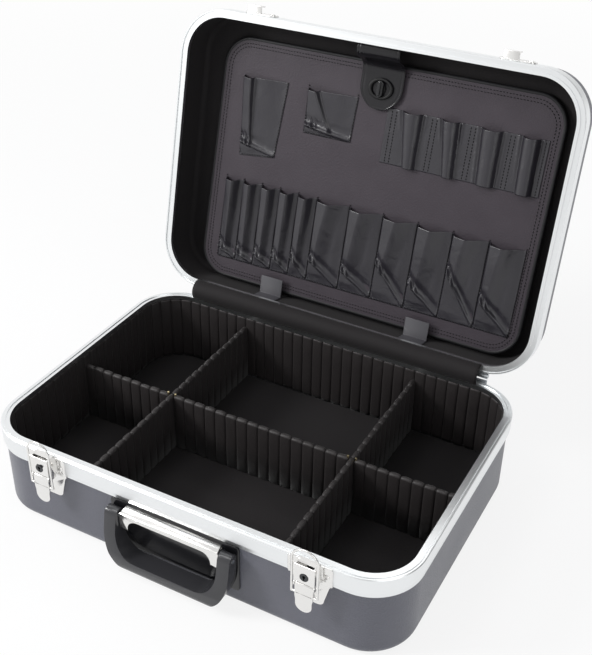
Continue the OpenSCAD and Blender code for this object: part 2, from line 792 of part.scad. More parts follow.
// places a piece drawn flat: x across, y from the hinge-side edge toward the latches, z out of the
// covered face. The same move serves the whole pallet.
module on_pallet() {
  as_open() translate([pallet_x, pallet_y, base_h + rim_gap + pallet_in])
    rotate([-pallet_tilt, 0, 0]) rotate([0, 0, 180]) mirror([1, 0, 0]) mirror([0, 0, 1]) children();
}

module pallet_board() {
  color("#4a444a") on_pallet() translate([0, pallet_d / 2, -pallet_t]) linear_extrude(pallet_t)
    rounded(pallet_w - 2 * piping_r, pallet_d - 2 * piping_r, pallet_r - piping_r);
}

// piping: a round welt in a groove-less seam along the board's edge
module pallet_piping() {
  w = pallet_w - 2 * piping_r;
  d = pallet_d - 2 * piping_r;
  r = pallet_r - piping_r;
  color("#232225") on_pallet() translate([0, pallet_d / 2, -pallet_t / 2]) difference() {
    for (i = [0:3]) rotate([0, 0, 90 * i]) {
      half = i % 2 == 0 ? w / 2 : d / 2;
      run = (i % 2 == 0 ? d : w) - 2 * r;
      translate([half, run / 2, 0]) rotate([90, 0, 0]) linear_extrude(run) circle(piping_r);
      translate([half - r, run / 2, 0]) rotate_extrude(angle = 90) translate([r, 0]) circle(piping_r);
    }
    translate([0, 0, -pallet_t / 2]) linear_extrude(pallet_t) rounded(w, d, r);
  }
}

// pocket: a sheet that stands off the board between two stitched edges, shut at its lower end.
// x0 and x1 are its edges at the mouth, low its foot, high its mouth, out its depth.
module pocket(x0, x1, low, high, out) {
  run = min(out * 0.5, (x1 - x0) * 0.2);
  outer = [[x0, 0], [x0 + run, out], [x1 - run, out], [x1, 0]];
  t = pocket_t;
  inner = [[x0 + 2 * t, -1], [x0 + 2 * t, 0], [x0 + run + t * 0.8, out - t],
    [x1 - run - t * 0.8, out - t], [x1 - 2 * t, 0], [x1 - 2 * t, -1]];
  difference() {
    translate([0, high, 0]) rotate([90, 0, 0]) linear_extrude(high - low) polygon(outer);
    translate([0, high + 1, 0]) rotate([90, 0, 0]) linear_extrude(high - low + 1 - t) polygon(inner);
  }
}

pocket_top = pallet_d - 42;
tall_x = 28 - pallet_w / 2;
tall_w = 57;
tall_h = 86;
short_x = 111 - pallet_w / 2;
short_w = 61;
short_h = 50;
module pocket_tall() {
  color("#3d3d42") on_pallet()
    pocket(tall_x, tall_x + tall_w, pocket_top - tall_h, pocket_top, pocket_out);
}
module pocket_short() {
  color("#3d3d42") on_pallet()
    pocket(short_x, short_x + short_w, pocket_top - short_h, pocket_top, pocket_out);
}

// tool loops: one strip stitched down between four open tunnels
loop_pitch = 41.7;
loop_w = 28;
loop_h = 59;
loops_x = pallet_w / 2 - 174;
loops_top = pocket_top - 4;
module loop_section(x, inset, out) {
  t = inset * pocket_t;
  base = inset > 0 ? -1 : 0;
  polygon([
    [x + 2 * t, base], [x + 2 * t, 0], [x + 5 + t, out - t], [x + loop_w - 5 - t, out - t],
    [x + loop_w - 2 * t, 0], [x + loop_w - 2 * t, base]
  ]);
}
module tool_loops() {
  color("#3d3d42") on_pallet() translate([loops_x, loops_top, 0]) for (i = [0:3]) {
    x = i * loop_pitch;
    difference() {
      rotate([90, 0, 0]) linear_extrude(loop_h) loop_section(x, 0, pocket_out);
      translate([0, 1, 0]) rotate([90, 0, 0]) linear_extrude(loop_h + 2)
        loop_section(x, 1, pocket_out);
    }
    if (i < 3) translate([x + loop_w - eps, -loop_h, 0])
      cube([loop_pitch - loop_w + 2 * eps, loop_h, pocket_t]);
  }
}

row_low = 24;
row_high = row_low + 97;
row_x = 22 - pallet_w / 2;
row_w = pallet_w - 35;
narrow_pitch = row_w * 0.0655;
wide_pitch = (row_w - 5 * narrow_pitch) / 6;
module pockets_narrow() {
  color("#3d3d42") on_pallet() for (i = [0:4])
    pocket(row_x + i * narrow_pitch, row_x + (i + 1) * narrow_pitch, row_low, row_high, pocket_out);
}
module pockets_wide() {
  x0 = row_x + 5 * narrow_pitch;
  color("#3d3d42") on_pallet() for (i = [0:5])
    pocket(x0 + i * wide_pitch, x0 + (i + 1) * wide_pitch, row_low, row_high, pocket_out + 1);
}

// retaining tabs: an angle of sheet plastic on the lid's wall that reaches over the pallet's edge
module pallet_tab(x) {
  wall_at = rim_d / 2 + shell_in - lid_lining_t;
  z0 = base_h + rim_gap;
  color("#8f9094") as_open() translate([x, 0, 0]) from_side(28) polygon([
    [wall_at, z0 + leg_h + 1], [wall_at, z0 + 23.6], [wall_at - 22, z0 + 23.6],
    [wall_at - 22, z0 + 22], [wall_at - 1.4, z0 + 22], [wall_at - 1.4, z0 + leg_h + 1]
  ]);
}
module pallet_tab_left() { pallet_tab(-tab_x); }
module pallet_tab_right() { pallet_tab(tab_x); }

// strap: from the lid's front wall, arched over the pallet's edge and flat on its face
strap_reach = 50;
button_at = pallet_d - 28;
strap_x = pallet_x - 2.5;
module pallet_strap() {
  wall_at = -rim_d / 2 - shell_in + lid_lining_t;
  z0 = base_h + rim_gap;
  face = z0 + pallet_in + (pallet_d - 40) * sin(pallet_tilt) - 0.6;
  t = strap_t;
  color("#323236") as_open() translate([strap_x, 0, 0]) difference() {
    from_side(strap_wide) polygon([
      [wall_at, z0 + 24], [wall_at, z0 + 15], [wall_at + 6, z0 + 12.6], [wall_at + 13, z0 + 14],
      [wall_at + 20, z0 + 20], [wall_at + 27, face - 7], [wall_at + 33, face - 2.4],
      [wall_at + 40, face - 1 - t], [wall_at + strap_reach + 20, face - 3.6 - t],
      [wall_at + strap_reach + 20, face - 3.6], [wall_at + 40, face - 1],
      [wall_at + 32, face - 1], [wall_at + 25.4, face - 6], [wall_at + 18.6, z0 + 21.2],
      [wall_at + 12.4, z0 + 15.6], [wall_at + 6, z0 + 14.2], [wall_at + t, z0 + 16.2],
      [wall_at + t, z0 + 24]
    ]);
    difference() {
      translate([-strap_wide, wall_at + strap_reach - 4, z0]) cube([2 * strap_wide, 60, 60]);
      translate([0, wall_at + strap_reach - 4, z0]) cylinder(r = strap_wide / 2, h = 60);
    }
    translate([0, pallet_y - button_at, z0]) cylinder(r = 6, h = 60);
  }
}

// turn button: an oval plate on the pallet and a winged knob that turns on it
button_up = 6.4;
module button_plate() {
  color("#1f1f21") on_pallet() translate([strap_x - pallet_x, button_at, 0]) {
    cylinder(r = 5.4, h = button_up - 0.3);
    cylinder(r = 5.8, h = 0.3);
  }
}
module turn_button() {
  color("#141416") on_pallet() translate([strap_x - pallet_x, button_at, button_up]) {
    translate([0, 0, 0]) linear_extrude(2.4) rounded(7, 17, 3.4);
    translate([0, 0, 2.3]) linear_extrude(2.2) rounded(2.6, 14, 1.2);
  }
}

base_shell();
base_frame();
base_lining();
floor_pad();
hinge_leaf_base();
hinge_pin();
hinge_rivets_base();
hinge_cover();
divider_left();
divider_right();
divider_mid_left();
divider_mid_centre();
divider_mid_right();
divider_pins();
latch_plate_left();
latch_plate_right();
lock_housing_left();
lock_housing_right();
latch_rivets_left();
latch_rivets_right();
lever_pin_left();
lever_pin_right();
lever_left();
lever_right();
bail_left();
bail_right();
lock_core_left();
lock_core_right();
handle_plate();
handle_bracket();
handle_rivets();
handle_pins();
handle_grip();
lid_shell();
lid_frame();
lid_lining();
hinge_leaf_lid();
hinge_rivets_lid();
catch_left();
catch_right();
catch_rivets();
pallet_tab_left();
pallet_tab_right();
pallet_strap();
pallet_board();
pallet_piping();
pocket_tall();
pocket_short();
tool_loops();
pockets_narrow();
pockets_wide();
button_plate();
turn_button();
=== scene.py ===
# Hard tool case: two moulded shells in aluminium frames, held open by a piano hinge,
# with a quilted divider grid in the base and a pocketed tool pallet in the lid.
import math
import random

import bpy
from mathutils import Matrix, Vector


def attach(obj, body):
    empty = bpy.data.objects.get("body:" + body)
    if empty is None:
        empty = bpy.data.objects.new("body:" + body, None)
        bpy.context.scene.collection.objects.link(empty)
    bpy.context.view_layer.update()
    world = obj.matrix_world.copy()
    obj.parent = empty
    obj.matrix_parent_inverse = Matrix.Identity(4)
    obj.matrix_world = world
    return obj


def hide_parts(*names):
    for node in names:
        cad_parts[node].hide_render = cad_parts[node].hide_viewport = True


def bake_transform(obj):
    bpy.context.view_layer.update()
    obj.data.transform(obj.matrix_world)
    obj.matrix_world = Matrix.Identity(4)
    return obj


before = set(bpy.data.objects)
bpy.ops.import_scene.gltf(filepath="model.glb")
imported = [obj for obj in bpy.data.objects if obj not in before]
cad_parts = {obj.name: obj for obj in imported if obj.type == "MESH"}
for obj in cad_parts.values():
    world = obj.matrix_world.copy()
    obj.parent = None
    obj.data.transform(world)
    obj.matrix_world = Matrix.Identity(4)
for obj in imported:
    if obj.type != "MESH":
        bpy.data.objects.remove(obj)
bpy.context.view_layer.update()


# Stage: a white paper floor in a soft white tent, four lamps and the camera.
# The floor keeps the case's shadow, and both show as plain white behind it.
def linear(text):
    """Linear colour with alpha from an sRGB hex colour."""
    parts = [int(text[i : i + 2], 16) / 255 for i in (1, 3, 5)]
    return [c / 12.92 if c <= 0.04045 else ((c + 0.055) / 1.055) ** 2.4 for c in parts] + [1]


def add(tree, kind, links=(), **settings):
    """Adds a node with its settings, values and links, and gives it back."""
    made = tree.nodes.new(kind)
    for name, value in settings.items():
        setattr(made, name, value)
    for name, value in links:
        if isinstance(value, bpy.types.NodeSocket):
            tree.links.new(value, made.inputs[name])
        else:
            made.inputs[name].default_value = value
    return made


def finish(name, colour, rough, metal=0.0, **sockets):
    """A material with its shader's own values, and the tree for the rest of its nodes."""
    material = bpy.data.materials.new(name)
    material.use_nodes = True
    shader = material.node_tree.nodes["Principled BSDF"]
    shader.inputs["Base Color"].default_value = linear(colour)
    shader.inputs["Roughness"].default_value = rough
    shader.inputs["Metallic"].default_value = metal
    for socket, value in sockets.items():
        shader.inputs[socket.replace("_", " ")].default_value = value
    return material, material.node_tree, shader


bpy.ops.object.select_all(action="DESELECT")
bpy.ops.mesh.primitive_plane_add(size=12)
floor = bpy.context.object
floor.name = "floor"
paper, tree, shader = finish("white_paper", "#ffffff", 0.85)
rays = add(tree, "ShaderNodeLightPath")
either = add(tree, "ShaderNodeMath", [(0, rays.outputs["Is Camera Ray"]),
                                      (1, rays.outputs["Is Transmission Ray"])],
             operation="MAXIMUM")
either = add(tree, "ShaderNodeMath", [(0, either.outputs[0]), (1, rays.outputs["Is Glossy Ray"])],
             operation="MAXIMUM")
# away from the object the floor turns plain white, and near it the shadow stays
place = add(tree, "ShaderNodeTexCoord")
away = add(tree, "ShaderNodeVectorMath", [(0, place.outputs["Object"])], operation="LENGTH")
white_share = add(tree, "ShaderNodeMapRange", [("Value", away.outputs["Value"]), ("From Min", 0.6),
                                               ("From Max", 2.2), ("To Min", 0.84),
                                               ("To Max", 1.0)])
share = add(tree, "ShaderNodeMath", [(0, either.outputs[0]), (1, white_share.outputs[0])],
            operation="MULTIPLY")
glow = add(tree, "ShaderNodeEmission", [("Color", (1, 1, 1, 1)), ("Strength", 1.0)])
shown = add(tree, "ShaderNodeMixShader", [(0, share.outputs[0]), (1, shader.outputs[0]),
                                          (2, glow.outputs[0])])
tree.links.new(shown.outputs[0], tree.nodes["Material Output"].inputs[0])
floor.data.materials.append(paper)

world = bpy.data.worlds.new("studio")
bpy.context.scene.world = world
world.use_nodes = True
tree = world.node_tree
room = tree.nodes["Background"]
room.inputs["Color"].default_value = (0.84, 0.86, 0.9, 1)
# the tent is lit from the left, so its right side is dimmer
side = add(tree, "ShaderNodeTexCoord")
across = add(tree, "ShaderNodeSeparateXYZ", [("Vector", side.outputs["Generated"])])
diffuse = add(tree, "ShaderNodeMapRange", [("Value", across.outputs["X"]), ("From Min", -0.8),
                                           ("From Max", 0.8), ("To Min", 0.43), ("To Max", 0.26)])
tree.links.new(diffuse.outputs[0], room.inputs["Strength"])
mirror = add(tree, "ShaderNodeMapRange", [("Value", across.outputs["X"]), ("From Min", -0.5),
                                          ("From Max", 0.9), ("To Min", 1.0), ("To Max", 0.3)])
rays = add(tree, "ShaderNodeLightPath")
either = add(tree, "ShaderNodeMath", [(0, rays.outputs["Is Camera Ray"]),
                                      (1, rays.outputs["Is Transmission Ray"])],
             operation="MAXIMUM")
white = add(tree, "ShaderNodeBackground", [("Color", (1, 1, 1, 1)), ("Strength", 1.0)])
glossy = add(tree, "ShaderNodeBackground", [("Color", (1, 1, 1, 1)),
                                            ("Strength", mirror.outputs[0])])
seen = add(tree, "ShaderNodeMixShader", [(0, rays.outputs["Is Glossy Ray"]),
                                         (1, room.outputs[0]), (2, glossy.outputs[0])])
last = add(tree, "ShaderNodeMixShader", [(0, either.outputs[0]), (1, seen.outputs[0]),
                                         (2, white.outputs[0])])
tree.links.new(last.outputs[0], tree.nodes["World Output"].inputs[0])

middle_of_case = Vector((0.05, 0, 0.15))
for name, place, size, power in (
    ("key", (-1.6, -1.1, 1.3), 0.6, 30),
    ("fill", (1.9, -1.0, 1.2), 1.6, 12),
    ("top", (-0.7, -0.7, 2.0), 0.7, 8),
    ("back", (0.2, 1.4, 1.8), 1.2, 7),
):
    bpy.ops.object.light_add(type="AREA", location=place)
    lamp = bpy.context.object
    lamp.name = name
    lamp.data.size = size
    lamp.data.energy = power
    aim = middle_of_case - Vector(place)
    lamp.rotation_euler = aim.to_track_quat("-Z", "Y").to_euler()

bpy.ops.object.camera_add(location=(0.4364, -0.7435, 0.7608))
camera = bpy.context.object
camera.data.lens = 58.34
camera.data.sensor_width = 36
aim = Vector((0.1692, -0.2414, 0.3904)) - camera.location
roll = Matrix.Rotation(math.radians(0.97), 3, "Z")
camera.rotation_euler = (aim.to_track_quat("-Z", "Y").to_matrix() @ roll).to_euler()
bpy.context.scene.camera = camera
bpy.context.scene.view_settings.view_transform = "Standard"


# Shells: one moulded ABS tray each for base and lid, held in the frames' channels.
# The mould leaves a fine pebble all over, so the gloss is broken and soft.
def paint(nodes, material):
    """Gives its material to each CAD node that stays as it is."""
    for name in nodes:
        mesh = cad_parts[name].data
        mesh.materials.clear()
        mesh.materials.append(material)


pebbled, tree, shader = finish("moulded_abs", "#63646d", 0.34, Specular_IOR_Level=0.4)
place = add(tree, "ShaderNodeTexCoord")
# pebbles are 1 mm in the mould, drawn 1.7 mm wide so that they show
pebble = add(tree, "ShaderNodeTexVoronoi", [("Vector", place.outputs["Object"]), ("Scale", 600)])
rise = add(tree, "ShaderNodeBump", [("Height", pebble.outputs["Distance"]), ("Strength", 0.55),
                                    ("Distance", 0.0005)])
tree.links.new(rise.outputs[0], shader.inputs["Normal"])
wear = add(tree, "ShaderNodeTexNoise", [("Vector", place.outputs["Object"]), ("Scale", 14.0),
                                        ("Detail", 4.0)])
gloss = add(tree, "ShaderNodeMapRange", [("Value", wear.outputs["Fac"]), ("To Min", 0.27),
                                         ("To Max", 0.42)])
tree.links.new(gloss.outputs[0], shader.inputs["Roughness"])
paint(["base_shell", "lid_shell"], pebbled)

# Frames: one aluminium extrusion each, bent round the shell and anodised.
# The die leaves faint lines along it, and the anodising a satin, almost white face.
lid_open = 103.6
for name, tilt in (("base", 0.0), ("lid", -lid_open)):
    drawn, tree, shader = finish("anodised_aluminium_" + name, "#eceeef", 0.3, 1.0)
    place = add(tree, "ShaderNodeTexCoord")
    turn = add(tree, "ShaderNodeMapping", [("Vector", place.outputs["Object"]),
                                           ("Rotation", (math.radians(-tilt), 0, 0))])
    stretch = add(tree, "ShaderNodeMapping", [("Vector", turn.outputs[0]),
                                              ("Scale", (4.0, 4.0, 900.0))])
    lines = add(tree, "ShaderNodeTexNoise", [("Vector", stretch.outputs[0]), ("Scale", 1.0),
                                             ("Detail", 2.0)])
    rise = add(tree, "ShaderNodeBump", [("Height", lines.outputs["Fac"]), ("Strength", 0.12),
                                        ("Distance", 0.0003)])
    tree.links.new(rise.outputs[0], shader.inputs["Normal"])
    satin = add(tree, "ShaderNodeMapRange", [("Value", lines.outputs["Fac"]), ("To Min", 0.24),
                                             ("To Max", 0.36)])
    tree.links.new(satin.outputs[0], shader.inputs["Roughness"])
    paint([name + "_frame"], drawn)


# Wall lining: black cloth on foam, sewn into upright ribs and glued round the base's wall.
# Each seam pulls the foam in, and the top edge is turned over between the seams.
def thicken(obj, thick):
    """Gives a sheet its thickness in mm, from its face inwards."""
    bpy.context.view_layer.objects.active = obj
    wall = obj.modifiers.new("thickness", "SOLIDIFY")
    wall.thickness = thick / 1000
    wall.offset = -1
    bpy.ops.object.modifier_apply(modifier="thickness")


def cloth(name, columns, rows, shape, body, material, thick=0.0, weld=False):
    """A sheet of columns by rows faces with its points at shape(s, t), s across and t up, in mm."""
    bpy.ops.object.select_all(action="DESELECT")
    bpy.ops.mesh.primitive_grid_add(x_subdivisions=columns, y_subdivisions=rows, size=2)
    obj = bpy.context.object
    obj.name = obj.data.name = name
    for vertex in obj.data.vertices:
        s = (vertex.co.x + 1) / 2
        t = (vertex.co.y + 1) / 2
        vertex.co = Vector(shape(s, t)) / 1000
    if weld:
        bpy.ops.object.mode_set(mode="EDIT")
        bpy.ops.mesh.select_all(action="SELECT")
        bpy.ops.mesh.remove_doubles(threshold=0.00002)
        bpy.ops.mesh.select_all(action="DESELECT")
        bpy.ops.mesh.select_non_manifold()
        bpy.ops.mesh.fill_holes(sides=0)
        bpy.ops.mesh.select_all(action="SELECT")
        bpy.ops.mesh.normals_make_consistent(inside=False)
        bpy.ops.object.mode_set(mode="OBJECT")
    if thick:
        thicken(obj, thick)
    bpy.ops.object.shade_smooth()
    obj.data.materials.append(material)
    if body:
        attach(obj, body)
    return obj


def ease(x, start, end):
    """A smooth step from 0 at start to 1 at end."""
    x = min(1.0, max(0.0, (x - start) / (end - start)))
    return x * x * (3 - 2 * x)


rim_w, rim_d, rim_r = 442.0, 302.0, 43.0
# one rib's profile, as shares of its width and of its height
crest = [(0, 0), (0.03, 0.5), (0.09, 0.82), (0.25, 0.97), (0.5, 1), (0.75, 0.97), (0.91, 0.82),
         (0.97, 0.5)]


def rim_station(share):
    """Place and outward direction at a share of the way round the rim's inner edge."""
    run_y, run_x, bend = rim_d - 2 * rim_r, rim_w - 2 * rim_r, rim_r * math.pi / 2
    s = share * 2 * (run_x + run_y + 2 * bend)
    for half, run, turn in ((rim_w / 2, run_y, 0), (rim_d / 2, run_x, 90), (rim_w / 2, run_y, 180),
                            (rim_d / 2, run_x, 270)):
        if s <= run + bend or turn == 270:
            break
        s -= run + bend
    if s <= run:
        spot, out = Vector((half, s - run / 2)), Vector((1, 0))
    else:
        angle = (s - run) / rim_r
        out = Vector((math.cos(angle), math.sin(angle)))
        spot = Vector((half - rim_r, run / 2)) + out * rim_r
    spin = Matrix.Rotation(math.radians(turn), 2)
    return spin @ spot, spin @ out


quilt, tree, shader = finish("quilted_cloth", "#272324", 0.5, Specular_IOR_Level=0.4,
                             Sheen_Weight=0.06, Sheen_Roughness=0.4)
place = add(tree, "ShaderNodeTexCoord")
# threads are 0.4 mm, drawn 1.2 mm wide so that they show
weave = add(tree, "ShaderNodeTexNoise", [("Vector", place.outputs["Object"]), ("Scale", 850.0),
                                         ("Detail", 2.0)])
puff = add(tree, "ShaderNodeTexNoise", [("Vector", place.outputs["Object"]), ("Scale", 90.0),
                                        ("Detail", 3.0)])
tone = add(tree, "ShaderNodeMix", [("Factor", weave.outputs["Fac"]), ("A", linear("#1b1818")),
                                   ("B", linear("#332f2f"))], data_type="RGBA")
tree.links.new(tone.outputs["Result"], shader.inputs["Base Color"])
fine = add(tree, "ShaderNodeBump", [("Height", weave.outputs["Fac"]), ("Strength", 0.35),
                                    ("Distance", 0.0004)])
soft = add(tree, "ShaderNodeBump", [("Height", puff.outputs["Fac"]), ("Strength", 0.5),
                                    ("Distance", 0.0012), ("Normal", fine.outputs[0])])
tree.links.new(soft.outputs[0], shader.inputs["Normal"])

ribs = 112
lining_foot, lining_top = 11.9, 92.6
jitter = random.Random(4)
pull = [jitter.uniform(0.8, 1.12) for _ in range(ribs)]
drop = [jitter.uniform(0, 1.3) for _ in range(ribs)]


def lining_point(s, t):
    k = min(round(s * ribs * len(crest)), ribs * len(crest))
    rib, part = divmod(k, len(crest))
    share, height = crest[part]
    spot, out = rim_station(((rib % ribs) + share) / ribs)
    height *= pull[rib % ribs]
    inner = 1.6 - 2.3 * height
    top = lining_top - drop[rib % ribs] * (1 - height)
    section = [(3.1, lining_foot), (3.1, top - 0.6), (inner + 1.3, top), (inner + 0.45, top - 0.5),
               (inner, top - 2), (inner - 0.12, top - 24), (inner + 0.1, top - 46),
               (inner - 0.05, 17), (inner + 0.7, lining_foot + 0.1),
               (3.1, lining_foot)]
    off, z = section[round(t * 9)]
    point = spot + out * off
    return point.x, point.y, z


wall_lining = cloth("wall_lining", ribs * len(crest), 9, lining_point, "base", quilt, weld=True)
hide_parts("base_lining")

# Lid lining: thin smooth cloth glued inside the lid's shell, behind the pallet.
# It shows only as a dark band round the pallet, so the node keeps its place with the cloth on.
plain, tree, shader = finish("brushed_cloth", "#1e1c1d", 0.75, Specular_IOR_Level=0.25,
                             Sheen_Weight=0.05)
place = add(tree, "ShaderNodeTexCoord")
# threads are 0.4 mm, drawn 1.2 mm wide so that they show
weave = add(tree, "ShaderNodeTexNoise", [("Vector", place.outputs["Object"]), ("Scale", 850.0),
                                         ("Detail", 3.0)])
tone = add(tree, "ShaderNodeMix", [("Factor", weave.outputs["Fac"]), ("A", linear("#181617")),
                                   ("B", linear("#292627"))], data_type="RGBA")
tree.links.new(tone.outputs["Result"], shader.inputs["Base Color"])
rise = add(tree, "ShaderNodeBump", [("Height", weave.outputs["Fac"]), ("Strength", 0.3),
                                    ("Distance", 0.0004)])
tree.links.new(rise.outputs[0], shader.inputs["Normal"])
paint(["lid_lining"], plain)


# Floor pad: a foam sheet in brushed cloth, cut to the base and pushed down inside the ribs.
# The dividers press shallow valleys into it, and its edge is rolled.
cross_at, long_board_front = 107, 2


def pad_point(s, t):
    half_x, half_y, bend, surface = 223.8, 153.8, 45.0, 11.5
    x, y = 2 * s - 1, 2 * t - 1
    x, y = math.copysign(abs(x) ** 0.8, x) * half_x, math.copysign(abs(y) ** 0.8, y) * half_y
    over_x, over_y = abs(x) - half_x + bend, abs(y) - half_y + bend
    if over_x > 0 and over_y > 0:
        reach, far = math.hypot(over_x, over_y), max(over_x, over_y)
        x = math.copysign(half_x - bend + over_x / reach * far, x)
        y = math.copysign(half_y - bend + over_y / reach * far, y)
    edge = min(half_x - abs(x), half_y - abs(y))
    under_boards = (x - cross_at, x + cross_at, y + long_board_front)
    press = sum(math.exp(-((d / 7) ** 2)) for d in under_boards)
    ripple = 0.25 * math.sin(x * 0.09 + y * 0.05) * math.sin(y * 0.11 - x * 0.03)
    return x, y, surface - 0.5 * min(press, 1.2) - 1.6 * (1 - ease(edge, 0, 5)) + ripple


floor_pad = cloth("floor_cushion", 110, 76, pad_point, "base", plain, thick=8)
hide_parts("floor_pad")


# Dividers: card boards in the same quilted cloth, slid between the ribs of the wall.
# Two cross the case, three stand between them, and brass pins hold them at the crossings.
rib_pitch, board_foot, board_top = 12.6, 12.4, 80.95


def divider(node, start, end, across):
    """A quilted board from start to end along x, or along y where it crosses the case at across."""
    count = max(1, round((end - start) / rib_pitch))
    own = random.Random(count + len(node))
    full = [own.uniform(0.82, 1.08) for _ in range(count + 1)]
    sag = [own.uniform(0.3, 1.6) for _ in range(count + 1)]

    def board_point(s, t):
        k = min(round(s * count * len(crest)), count * len(crest))
        rib, part = divmod(k, len(crest))
        share, height = crest[part]
        along = start + (rib + share) * (end - start) / count
        height *= full[rib]
        half = 3.05 * (0.4 + 0.6 * height)
        top = board_top - (1.6 + sag[rib]) * (1 - height)
        section = [(-half, board_foot), (-half, 45), (-half, top - 2.8), (-half * 0.8, top - 1.0),
                   (0, top), (half * 0.8, top - 1.0), (half, top - 2.8), (half, 45),
                   (half, board_foot), (-half, board_foot)]
        off, z = section[round(t * 9)]
        if across is None:
            return along, off - long_board_front, z
        return across - off, along, z

    board = cloth(node + "_board", count * len(crest), 9, board_point, "base", quilt, weld=True)
    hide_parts(node)


divider("divider_left", -151.9, 151.9, -106.95)
divider("divider_right", -151.9, 151.9, 106.95)
divider("divider_mid_left", -221.8, -110.1, None)
divider("divider_mid_centre", -103.8, 103.8, None)
divider("divider_mid_right", 110.1, 221.8, None)

# drawn brass rod, a little dulled by handling
brass, tree, shader = finish("drawn_brass", "#ddcda2", 0.28, 1.0)
place = add(tree, "ShaderNodeTexCoord")
dull = add(tree, "ShaderNodeTexNoise", [("Vector", place.outputs["Object"]), ("Scale", 400.0)])
gloss = add(tree, "ShaderNodeMapRange", [("Value", dull.outputs["Fac"]), ("To Min", 0.2),
                                         ("To Max", 0.4)])
tree.links.new(gloss.outputs[0], shader.inputs["Roughness"])
paint(["divider_pins"], brass)

# Hinge: two rolled steel leaves on one pin, riveted to the backs of the frames.
# Rolling and plating leave a satin face with faint cloudy marks.
satin_steel, tree, shader = finish("plated_steel", "#c3c6c9", 0.32, 1.0)
place = add(tree, "ShaderNodeTexCoord")
cloud = add(tree, "ShaderNodeTexNoise", [("Vector", place.outputs["Object"]), ("Scale", 120.0),
                                         ("Detail", 3.0)])
gloss = add(tree, "ShaderNodeMapRange", [("Value", cloud.outputs["Fac"]), ("To Min", 0.22),
                                         ("To Max", 0.42)])
tree.links.new(gloss.outputs[0], shader.inputs["Roughness"])
paint(["hinge_leaf_base", "hinge_leaf_lid", "hinge_pin", "hinge_rivets_base",
       "hinge_rivets_lid", "lever_pin_left", "lever_pin_right", "handle_pins",
       "handle_rivets"], satin_steel)


# Hinge cover: a strip of the lining's cloth glued to both frames inside the hinge.
# It bows inward, so that it folds inside the case as the lid comes down.
hinge_y, hinge_z = 164.2, 104.2
strip_w = 356


def cover_point(s, t):
    x = strip_w * (s - 0.5)
    angle = math.radians(202.3 - 101.0 * t)
    bow = math.sin(math.pi * t)
    reach = 15.0 + 2.2 * bow + 0.35 * math.sin(x * 0.07 + 3 * t) * bow
    return x, hinge_y + reach * math.cos(angle), hinge_z + reach * math.sin(angle)


cover = cloth("hinge_strip", 90, 14, cover_point, None, plain, thick=0.7)
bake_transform(cover)
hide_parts("hinge_cover")


# Latches: pressed and nickel-plated steel plates, key housings, levers, bails and catches.
# Pressing rounds each edge a little, and polishing before plating leaves a mirror with faint swirls.
def pressed(nodes, width, material, body_of_node, segments=2):
    """Copies each node, rounds its edges and lets the copy stand for it."""
    for node in nodes:
        bpy.ops.object.select_all(action="DESELECT")
        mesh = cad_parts[node].data.copy()
        obj = bpy.data.objects.new(node + "_pressed", mesh)
        bpy.context.scene.collection.objects.link(obj)
        obj.select_set(True)
        bpy.context.view_layer.objects.active = obj
        bpy.ops.object.mode_set(mode="EDIT")
        bpy.ops.mesh.select_all(action="SELECT")
        bpy.ops.mesh.remove_doubles(threshold=0.000005)
        bpy.ops.mesh.dissolve_limited(angle_limit=math.radians(1))
        bpy.ops.object.mode_set(mode="OBJECT")
        edge = obj.modifiers.new("edge", "BEVEL")
        edge.width = width / 1000
        edge.segments = segments
        edge.limit_method = "ANGLE"
        edge.angle_limit = math.radians(38)
        bpy.ops.object.modifier_apply(modifier="edge")
        bpy.ops.object.shade_smooth_by_angle(angle=math.radians(38))
        mesh.materials.clear()
        mesh.materials.append(material)
        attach(obj, body_of_node)
        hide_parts(node)


nickel, tree, shader = finish("bright_nickel", "#e9e8e6", 0.14, 1.0)
place = add(tree, "ShaderNodeTexCoord")
swirl = add(tree, "ShaderNodeTexNoise", [("Vector", place.outputs["Object"]), ("Scale", 180.0),
                                         ("Detail", 4.0)])
gloss = add(tree, "ShaderNodeMapRange", [("Value", swirl.outputs["Fac"]), ("To Min", 0.08),
                                         ("To Max", 0.24)])
tree.links.new(gloss.outputs[0], shader.inputs["Roughness"])
rise = add(tree, "ShaderNodeBump", [("Height", swirl.outputs["Fac"]), ("Strength", 0.12),
                                    ("Distance", 0.0006)])
tree.links.new(rise.outputs[0], shader.inputs["Normal"])
for side, short in (("left", "l"), ("right", "r")):
    pressed(["latch_plate_" + side], 0.35, nickel, "base")
    pressed(["lock_housing_" + side], 0.12, nickel, "base", segments=1)
    pressed(["lever_" + side], 0.3, nickel, "lever_" + short)
    pressed(["catch_" + side], 0.3, nickel, "lid")
    paint(["latch_rivets_" + side, "bail_" + side], nickel)
paint(["catch_rivets"], nickel)
# die-cast zinc, left dull and dark
zinc = finish("zinc_lock_core", "#4b4c4e", 0.35, 1.0)[0]
paint(["lock_core_left", "lock_core_right"], zinc)

# Handle: a glossy plate and a folded nickel bracket riveted through it, and a moulded grip.
# The grip is ABS with softly rounded edges and a faint mould grain, and the plate is polished.
gloss_black = finish("gloss_abs", "#17171a", 0.16)[0]
pressed(["handle_plate"], 0.6, gloss_black, "base")
pressed(["handle_bracket"], 0.35, nickel, "base")
grip, tree, shader = finish("moulded_grip_abs", "#353538", 0.2)
place = add(tree, "ShaderNodeTexCoord")
grain = add(tree, "ShaderNodeTexNoise", [("Vector", place.outputs["Object"]), ("Scale", 700.0)])
rise = add(tree, "ShaderNodeBump", [("Height", grain.outputs["Fac"]), ("Strength", 0.25),
                                    ("Distance", 0.0004)])
tree.links.new(rise.outputs[0], shader.inputs["Normal"])
pressed(["handle_grip"], 3.2, grip, "handle", segments=4)

